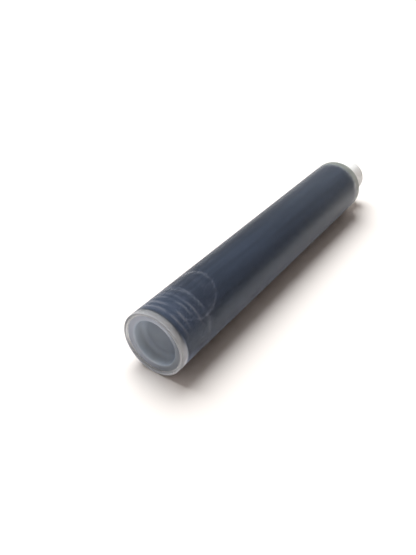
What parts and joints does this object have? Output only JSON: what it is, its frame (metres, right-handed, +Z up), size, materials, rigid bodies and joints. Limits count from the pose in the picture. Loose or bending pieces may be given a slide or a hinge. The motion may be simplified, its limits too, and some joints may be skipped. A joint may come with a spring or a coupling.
{
  "type": "ink cartridge for a technical or fountain pen",
  "caption": "Short sealed ink cartridge: a translucent tube of blue-black ink with a narrow neck, a seal ball that pushes in, and a ribbed plug in its tail.",
  "frame": {"origin": "centre of the bottom of the box, on the ground under the middle of the lying cartridge", "axes": "+Z up, +Y along the cartridge from its open tail to its neck, +X to the right when looking along +Y"},
  "size_m": [0.006, 0.0388, 0.006],
  "materials": {
    "translucent_tube": "satin",
    "frosted_plug": "satin",
    "clear_ball": "gloss",
    "blue_black_ink": "gloss"
  },
  "bodies": {
    "cartridge": {"barrel": "translucent_tube", "tail_plug": "frosted_plug", "ink": "blue_black_ink", "trapped_ink": "blue_black_ink"},
    "ball": {"seal_ball": "clear_ball"}
  },
  "joints": [
    {"name": "seal_ball_push", "type": "slide", "parent": "cartridge", "child": "ball", "axis": [0, -1, 0], "range_m": [0, 0.03005], "deforming": ["ink"]}
  ]
}
